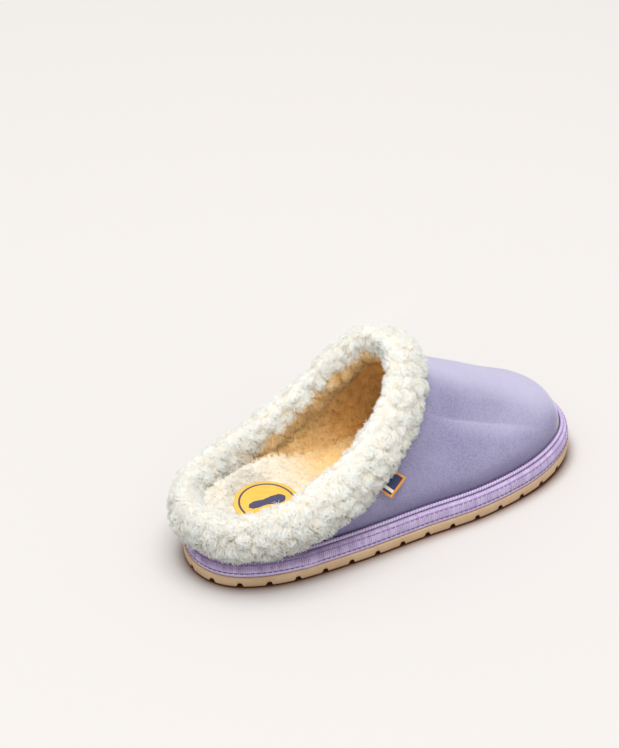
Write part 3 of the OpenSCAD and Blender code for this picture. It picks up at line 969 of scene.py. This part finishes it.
def stuffed(rest, steps=16):
    """Cloth cut 5 % too large, blown up by its stuffing, sewn down along both edges and tacked to
    the filling in between. Returns how far each point moves. It is solved at ten times the size,
    where the solver's scale suits it."""
    scene = bpy.context.scene
    big = 10
    n, m = rest.shape[:2]
    obj = make_mesh("cuff_cloth", rest * big, grid_quads(n, m, True, False), fleece_ground)
    ids = np.arange(n * m).reshape(n, m)
    held = obj.vertex_groups.new(name="held")
    held.add(ids[:, 2:-2].ravel().tolist(), 0.5, "REPLACE")
    held.add(ids[:, [0, 1, -2, -1]].ravel().tolist(), 1.0, "REPLACE")
    cloth = obj.modifiers.new("stuffing", "CLOTH")
    set_all(cloth.settings, quality=6, mass=0.3, tension_stiffness=40, compression_stiffness=30,
            shear_stiffness=5, bending_stiffness=200, vertex_group_mass="held", pin_stiffness=4,
            use_pressure=True, uniform_pressure_force=60, shrink_min=-0.05)
    cloth.settings.effector_weights.gravity = 0
    cloth.collision_settings.use_collision = False
    set_all(cloth.point_cache, frame_start=1, frame_end=steps)
    for frame_number in range(1, steps + 1):
        scene.frame_set(frame_number)
    solved = obj.evaluated_get(bpy.context.evaluated_depsgraph_get()).to_mesh()
    co = np.empty(n * m * 3, np.float32)
    solved.vertices.foreach_get("co", co)
    bpy.data.objects.remove(obj)
    scene.frame_set(1)
    return co.reshape(n, m, 3) / big - rest


def resampled(field, n, m):
    """The values of a coarse grid, closed along its first index, on n + 1 by m points."""
    rows, columns = field.shape[:2]
    i = np.linspace(0, rows, n + 1)
    j = np.linspace(0, columns - 1, m)
    low_i = np.floor(i).astype(int)
    low_j = np.minimum(np.floor(j).astype(int), columns - 2)
    a = smooth(i - low_i, 0, 1)[:, None, None]
    b = (j - low_j)[None, :, None]
    near, far = field[low_i % rows], field[(low_i + 1) % rows]
    row = near * (1 - a) + far * a
    return row[:, low_j] * (1 - b) + row[:, low_j + 1] * b


cloth_share = 0.4  # of the solved movement that the roll keeps


def cuff():
    """The fleece roll: a lumpy backing in the C-shaped section, and its curly pile."""
    opening = np.degrees(np.arcsin(slot / cuff_across))
    first, last = opening - 90, 270 - opening
    n, m, inner_columns = 460, 96, 24
    coarse_v = (np.arange(130) / 130)[:, None]
    coarse = cuff_shape(coarse_v, np.linspace(first, last, 22)[None])
    moved = resampled(stuffed(coarse), n, m)
    v = (np.arange(n + 1) / n)[:, None]
    angle = np.linspace(first, last, m)[None]
    face = cuff_shape(v, angle) + cloth_share * moved
    normals = grid_normals(face[:-1], True)
    normals = np.concatenate([normals, normals[:1]])
    swell = value_noise(face, 24 * mm, 11) * 0.8 * mm
    fade = smooth(angle[0], first, first + 25) * (1 - smooth(angle[0], last - 25, last))
    face = face + normals * (swell * fade)[..., None]
    ground, aims, coat = lumpy(face[:-1], normals[:-1], True, roll_pile)
    inner = np.linspace(270 - opening * 2.3, opening * 2.3 - 90, inner_columns)[None]
    back = cuff_surface(v[:-1], inner, 6.5 * mm)
    obj = ring_mesh("cuff_backing", np.concatenate([coat, back], 1), fleece_ground)
    painted_bounce = cuff_painted_bounce(np.broadcast_to(angle, face.shape[:2])[:-1], coat)
    backing_tones(obj, np.concatenate([painted_bounce, np.repeat(painted_bounce[:, -1:], inner_columns, 1)], 1), 0.55)
    place(obj, "fleece_cream", "collar_fleece")
    ground = np.concatenate([ground, ground[:1]])
    aims = np.concatenate([aims, aims[:1]])
    grow("cuff_pile", roll_pile, ground, aims,
         lambda roots, places: cuff_painted_bounce(first + places * (last - first), roots), fleece)


def cuff_shape(v, angle):
    """Rest shape of the cuff's backing: lean inside, and proud outside at the heel."""
    face = cuff_surface(v, angle, (0.7 + 5.5 * smooth(angle, 55, 118)) * mm)
    heel = 1 - smooth(np.minimum(v, 1 - v), 0.1, 0.2)
    share = (heel * smooth(-angle, -30, 50))[..., None]
    out_axis = cuff_frame(np.broadcast_to(v, face.shape[:2]))[1]
    return face + (out_axis * 1.2 * mm + np.array([0, 0, 0.4 * mm])) * share


def cuff_painted_bounce(angle, points):
    """Painted bounce light and shade of the cuff's pile: it grows on the inner face, away from the heel.
    """
    front = smooth(points[..., 1], -105 * mm, -40 * mm)
    edge = angle + 16 * value_noise(points, 9 * mm, 71)
    inner = smooth(edge, 155 - 35 * front, 225 - 50 * front)
    return inner * (0.15 + 0.45 * front)


# Inset of the footbed's edge from the sole's outline, along the sole.
BED_Y = np.array([-70, -10, 60, 100, 131]) * mm
BED_INSET = np.array([16.5, 16.5, 18, 21, 22]) * mm
heel_rise = 10 * mm  # of the footbed's fleece up the wall round the heel


def bed_grid(rows, columns, extra, z):
    """Grid over the footbed, in rows across it."""
    u = even_u(2 * rows)
    inset = np.interp(outline_at(u)[:, 1], BED_Y, BED_INSET) + extra
    p = outline_at(u) - outline_normal(u) * inset[:, None]
    k = np.arange(1, rows)
    share = np.linspace(0, 1, columns)[None, :, None]
    flat = p[k][:, None] * (1 - share) + p[2 * rows - k][:, None] * share
    return np.concatenate([flat, (z + spring(flat[..., 1]))[..., None]], -1)


def bed_painted_bounce(points):
    """Painted bounce light and shade of the footbed's pile, which grows from the heel to the toe."""
    return 0.1 + 0.5 * smooth(points[..., 1], -80 * mm, 0)


def footbed():
    """Fleece face of the footbed, which rises to the wall round the heel."""
    top = bed_grid(260, 80, -3.5 * mm, footbed_top - 1 * mm)
    normals = grid_normals(top, False)
    normals = normals * np.sign(normals[..., 2:].mean())
    sides = np.linalg.norm(top - top[:, :1], axis=-1)
    sides = np.minimum(sides, sides[:, ::-1])
    edge = np.minimum(sides, top[..., 1] - top[..., 1].min())
    heel = (1 - smooth(top[..., 1], -70 * mm, -25 * mm)) * smooth(off_patch(top), 1, 1.3)
    top[..., 2] += value_noise(top, 30 * mm, 31) * 0.5 * mm
    top[..., 2] += heel_rise * heel * (1 - smooth(edge, 0, 22 * mm))
    ground, aims, coat = lumpy(top, normals, False, bed_pile)
    under = bed_grid(260, 80, -1.5 * mm, low("footbed_fleece")[2])
    obj = turn_outward(sheet_mesh("footbed_backing", coat, under, fleece_ground))
    backing_tones(obj, bed_painted_bounce(np.concatenate([coat, under])), 0.5)
    place(obj, "fleece_cream", "footbed_fleece")
    weight = 1 - 0.6 * smooth(top[..., 1], 20 * mm, 60 * mm)
    grow("footbed_pile", bed_pile, ground, aims, lambda roots, _: bed_painted_bounce(roots), bed_fleece,
         weight, lambda roots: off_patch(roots) > 1.06)


def lining():
    """Fleece wall inside the upper, from the footbed up to the cuff, and on to the toe."""
    v = np.linspace(0.1, 0.9, 330)[:, None]
    r = np.linspace(0, 0.97, 72)[None]
    face = rib(v, r)
    outward = grid_normals(face, False)
    short = smooth(v, 0.1, 0.16) * (1 - smooth(v, 0.84, 0.9))
    depth = (3.2 + 4.2 * short * smooth(r, 0, 0.1)) * mm
    outer = face - outward * 2 * mm
    inner = face - outward * depth[..., None]
    steps = np.linalg.norm(np.diff(inner[:, ::-1], axis=1), axis=-1)
    from_hem = np.concatenate([0 * v, np.cumsum(steps, 1)], 1)[:, ::-1]
    hem = cuff_surface(v, 200, 8 * mm)
    joined = short * (1 - smooth(from_hem, 0, 32 * mm))
    inner = inner + (hem - inner[:, -1:]) * joined[..., None]
    ground, aims, coat = lumpy(inner, -grid_normals(inner, False), False, wall_pile)
    obj = sheet_mesh("lining_backing", outer, coat, fleece_ground)
    backing_tones(obj, lining_painted_bounce(np.concatenate([outer, coat])), 0.5)
    place(obj, "fleece_cream", "vamp_lining")
    weight = 1 - 0.85 * smooth(inner[..., 1], 15 * mm, 60 * mm)
    grow("lining_pile", wall_pile, ground, aims, lambda roots, _: lining_painted_bounce(roots), fleece, weight)


def lining_painted_bounce(points):
    """Painted bounce light and shade of the wall's pile: golden from the heel's sides on, and amber
    towards the toe.
    """
    y = points[..., 1] + 8 * mm * value_noise(points, 12 * mm, 72)
    return 0.15 + 0.4 * smooth(y, -100 * mm, -55 * mm) + 0.45 * smooth(y, -45 * mm, 12 * mm)


# ---------- heel patch ----------

patch_low, patch_high = low("heel_patch"), high("heel_patch")
patch_centre = (patch_low + patch_high)[:2] / 2
patch_size = (patch_high - patch_low)[:2] / 2
ink_height = 0.07 * mm
ink_sunk = -0.02 * mm
mark_half = 11.5 * mm

# Half width of the printed sole shape, from its heel to its toe as shares of its half length.
MARK_ALONG = [-1, -0.9, -0.6, -0.1, 0.4, 0.8, 0.95, 1]
MARK_WIDTH = np.array([0.3, 2.4, 3.3, 2.6, 4.1, 3.8, 2.2, 0.3]) * mm


def off_patch(points):
    """Distance from the patch's middle, where its edge is 1."""
    return np.linalg.norm((points[..., :2] - patch_centre) / patch_size, axis=-1)


def patch_ellipse(turn, share):
    """Points at angles on the patch's outline, brought in to a share of its size."""
    return patch_centre + np.stack([np.cos(turn), np.sin(turn)], -1) * patch_size * share


def on_patch(xy, lift):
    """Points over the patch's face, which follows the cushion under it."""
    flat = np.concatenate([xy, np.zeros(xy.shape[:-1] + (1,))], -1)
    top = patch_high[2] + value_noise(flat, 12 * mm, 61) * 0.3 * mm
    flat[..., 2] = top - 0.5 * mm * smooth(off_patch(xy), 0.82, 1) + lift
    return flat


def heel_patch():
    """Printed cloth disc with a rounded edge."""
    turn = np.arange(144) / 144 * 2 * np.pi
    face = [(share, 0) for share in (0.04, 0.15, 0.3, 0.45, 0.6, 0.72, 0.82, 0.88, 0.93, 0.97, 1)]
    edge = [(1, -0.3), (1, -0.6)]
    under = [(share, -0.75) for share in (0.8, 0.4, 0.04)]
    loops = [on_patch(patch_ellipse(turn, share), drop * mm) for share, drop in face + edge + under]
    obj = closed_solid("heel_patch_cloth", np.array(loops), 2, 2, patch_cloth)
    place(turn_outward(obj), "patch_yellow", "heel_patch")


def patch_print():
    """A plain ring and one solid sole shape, without lettering."""
    turn = np.linspace(0, 2 * np.pi, 181)[:-1, None]
    ring = patch_ellipse(turn, np.array([0.80, 0.83, 0.86])[:, None])
    grid = np.concatenate([on_patch(ring, ink_height), on_patch(ring, ink_sunk)[:, ::-1]], 1)
    place(turn_outward(ring_mesh("heel_patch_ring", grid, ink)), "patch_yellow")
    s = np.linspace(-1, 1, 60)[:, None]
    t = np.linspace(-1, 1, 24)[None]
    across = np.interp(s, MARK_ALONG, MARK_WIDTH) * t + 0.9 * mm * np.sin(s * 2.2)
    along = mark_half * s + 0.5 * mm * (1 - t**2) * s**7
    mark = patch_centre + np.stack([across, along], -1)
    obj = sheet_mesh("heel_patch_mark", on_patch(mark, ink_height), on_patch(mark, ink_sunk), ink)
    place(turn_outward(obj), "patch_yellow")


# ---------- label ----------

label_at = 0.306  # place along the cuff
label_width = 15 * mm
label_reach = 8.5 * mm
label_held = 2.9 * mm  # length inside the seam
label_tilt = np.radians(42)
label_border = 1.2 * mm
ply = 0.36 * mm


def label_line(d, hinge, away, out_axis, up_axis):
    """Middle of the ribbon and its face's direction, d past the hinge."""
    if d < 0:
        return hinge - up_axis * d - out_axis * 0.5 * mm * min(1, -d / mm), out_axis
    facing = unit(np.cross(away, np.cross(up_axis, out_axis)))
    return hinge + away * d, facing * np.sign(np.dot(facing, out_axis))


def side_label():
    """Folded ribbon that comes out of the seam and bends at the hinge."""
    hinge = np.array(frame["joints"][0]["pos_m"])
    _, out_axis, up_axis, _ = cuff_frame(label_at)
    seam = unit(np.cross(up_axis, out_axis))
    away = out_axis * np.sin(label_tilt) - up_axis * np.cos(label_tilt)
    s = np.linspace(-1, 1, 41)
    held = np.linspace(-label_held, 0, 9)
    lengths = np.concatenate([held, np.linspace(0.4 * mm, label_reach, 26)])
    faces = []
    for side in (1, -1):
        rows = []
        for d in lengths:
            base, normal = label_line(d, hinge, away, out_axis, up_axis)
            free = smooth(d, 2 * mm, label_reach)
            end = smooth(d, label_reach - 0.5 * mm, label_reach)
            thick = ply * (1 - 0.75 * end) + 0.14 * mm * free * (1 - end)
            curled = 0.9 * mm * free * s**2 + 0.5 * mm * free * s
            offset = side * thick * (1 - 0.7 * np.abs(s) ** 8) + curled
            rows.append(base + seam * (s * label_width / 2)[:, None] + normal * offset[:, None])
        faces.append(np.array(rows))
    obj = turn_outward(sheet_mesh("side_label_ribbon", faces[0], faces[1], label_cloth))
    across, along = np.broadcast_arrays(s, lengths[:, None])
    sides = smooth(np.abs(across), 0.82, 0.86)
    tip = smooth(along, label_reach - label_border - 0.3 * mm, label_reach - label_border)
    stripe = smooth(across, -0.66, -0.62) * (1 - smooth(across, -0.38, -0.34))
    tone(obj, "edge", np.tile(np.maximum(sides, tip), (2, 1)))
    tone(obj, "stripe", np.tile(stripe, (2, 1)))
    start, end = hinge - away * 0.6 * mm, hinge + away * 0.9 * mm
    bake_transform(obj)
    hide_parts("side_label", "label_tail")


# ---------- build ----------

rubber = rubber_paint("rubber_tan")
tape = tape_paint("tape_lilac")
cord = tape_paint("cord_mauve")
suede = suede_paint("suede_lilac")
fleece = fleece_paint("fleece_cream", 1.0, 0.88)
bed_fleece = fleece_paint("fleece_bed", 1.0, 0.88)
fleece_ground = fleece_paint("fleece_ground", 0.98, 0.3)
patch_cloth = patch_paint("patch_yellow")
label_cloth = label_paint("label_navy")
violet = thread_paint("thread_violet", rgb(118, 94, 158), rgb(88, 64, 126))
mauve = thread_paint("thread_mauve", rgb(160, 136, 188), rgb(112, 88, 142))
ink = ink_paint("patch_ink", rgb(62, 62, 96), rgb(92, 90, 120))
foam = foam_paint("foam_white", rgb(232, 228, 220), rgb(205, 200, 190))
board = foam_paint("board_grey", rgb(186, 172, 148), rgb(150, 136, 112))

outsole()
sole_wrap()
stitch_row("wrap_stitches_lower", lower_row, violet, 0.26 * mm, "wrap_stitch_lower")
stitch_row("wrap_stitches_upper", upper_row, mauve, 0.25 * mm, "wrap_stitch_upper")
groove_stitches()
seam_cord()
suede_sheet("vamp_suede", np.linspace(0.15, 0.85, 380), "vamp")
suede_sheet("back_strip_suede", np.linspace(0.856, 1.144, 120), "back_strip")
cuff()
footbed()
lining()
heel_patch()
patch_print()
side_label()

inside = {
    "midsole": foam, "footbed_foam": foam, "toe_puff": foam, "collar_core": foam,
    "insole_board": board, "closing_stitch": violet, "topline_stitch": violet,
}
for node_name, paint in inside.items():
    node = frame["nodes"][node_name]
    node.data.materials.clear()
    node.data.materials.append(paint)


# ---------- stage ----------

view_azimuth, view_elevation, view_roll = np.radians([60.38, 34.37, -1.366])
view_target = Vector((-0.0860, 0.0008, 0.0400))
view_distance = 1.3089
lens, sensor = 100.04, 36
floor_half = 8
sky_strength = 0.66
key_at, key_size, key_power = Vector((0.3, -0.3, 3.8)), 3.2, 150
snoot_target = Vector((-0.022, -0.008, 0.053))  # the inner wall of the opening
snoot_from = Vector((0.62, -0.64, 0.46))
snoot_power, snoot_cone, snoot_radius = 26, np.radians(3.8), 0.05


def stage():
    """Pale floor, a broad soft key from above, and a narrow soft beam into the opening."""
    corners = np.array([(-1, -1, 0), (1, -1, 0), (1, 1, 0), (-1, 1, 0)]) * floor_half
    make_mesh("floor", corners - [0, 0, 0.1 * mm], [(0, 1, 2, 3)], floor_paint("floor_pale"))
    key = bpy.data.lights.new("key", "AREA")
    set_all(key, shape="DISK", size=key_size, energy=key_power, color=(1, 0.995, 0.985))
    add("key", key, key_at, Vector((0, 0, 0.03)))
    snoot = bpy.data.lights.new("snoot", "SPOT")
    set_all(snoot, energy=snoot_power, spot_size=snoot_cone, spot_blend=1, shadow_soft_size=snoot_radius)
    add("snoot", snoot, snoot_target + snoot_from.normalized(), snoot_target)
    world = bpy.data.worlds.new("studio")
    world.use_nodes = True
    sky = world.node_tree.nodes["Background"].inputs
    sky["Color"].default_value = (1, 1, 1, 1)
    sky["Strength"].default_value = sky_strength
    bpy.context.scene.world = world
    bpy.context.scene.view_settings.view_transform = "Standard"


def camera():
    """Long lens from the outer side behind the heel, as in the photograph."""
    level = Vector((np.sin(view_azimuth), -np.cos(view_azimuth), 0))
    back = level * np.cos(view_elevation) + Vector((0, 0, np.sin(view_elevation)))
    right = Vector((np.cos(view_azimuth), np.sin(view_azimuth), 0))
    up = back.cross(right)
    across = right * np.cos(view_roll) + up * np.sin(view_roll)
    above = up * np.cos(view_roll) - right * np.sin(view_roll)
    data = bpy.data.cameras.new("camera")
    set_all(data, lens=lens, sensor_width=sensor, clip_end=60)
    obj = add("camera", data)
    spin = Matrix((across, above, back)).transposed().to_4x4()
    obj.matrix_world = Matrix.Translation(view_target + back * view_distance) @ spin
    bpy.context.scene.camera = obj


stage()
camera()
